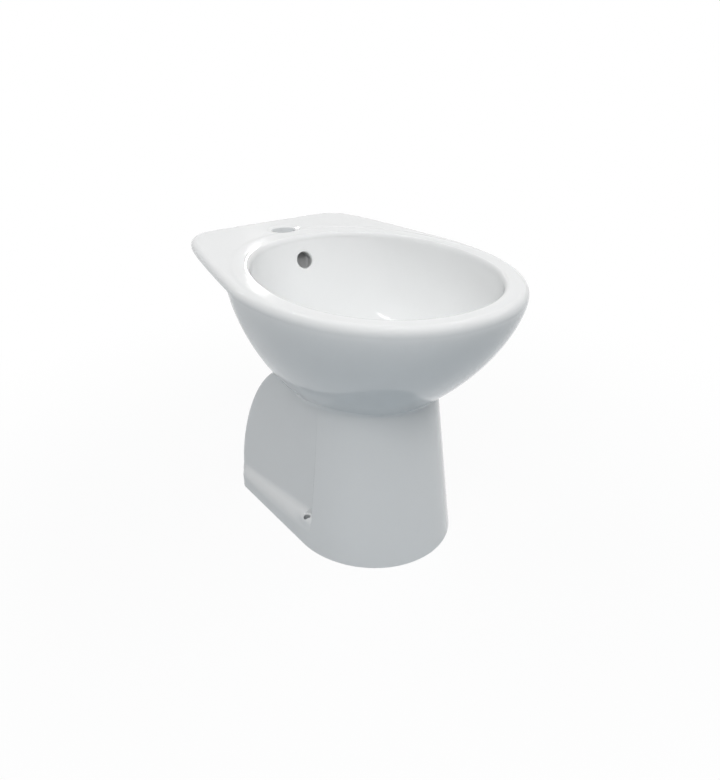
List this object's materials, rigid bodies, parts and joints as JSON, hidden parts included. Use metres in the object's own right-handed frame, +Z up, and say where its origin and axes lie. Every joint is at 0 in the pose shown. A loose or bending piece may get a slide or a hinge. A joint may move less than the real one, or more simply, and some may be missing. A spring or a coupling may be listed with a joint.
{
  "type": "floor standing bidet",
  "caption": "Floor standing bidet in white vitreous china with an oval basin, a tap deck, an overflow, a stepped pedestal open at the back and a press-to-close waste.",
  "frame": {"origin": "on the floor, below the middle of the overall box", "axes": "+Z up, -Y towards the front of the rim, +Y towards the wall, +X to the right of someone facing the wall"},
  "size_m": [0.367, 0.526, 0.4],
  "materials": {
    "china": "gloss",
    "chrome": "polished",
    "brass": "satin",
    "rubber": "matt",
    "nylon": "matt",
    "spring_steel": "satin"
  },
  "bodies": {
    "bidet": {"ceramic_body": "china", "waste_body": "chrome", "flange_gasket": "rubber", "cone_gasket": "rubber", "slip_washer": "nylon", "lock_nut": "brass", "tail_pipe": "chrome", "tail_seal": "rubber", "latch_core": "nylon", "plug_spring": "spring_steel"},
    "plug": {"plug_sleeve": "nylon", "plug_seal": "rubber", "plug_cap": "chrome"}
  },
  "joints": [
    {"name": "plug_lift", "type": "slide", "parent": "bidet", "child": "plug", "axis": [0, 0, 1], "range_m": [0, 0.009], "deforming": ["plug_spring"]}
  ]
}
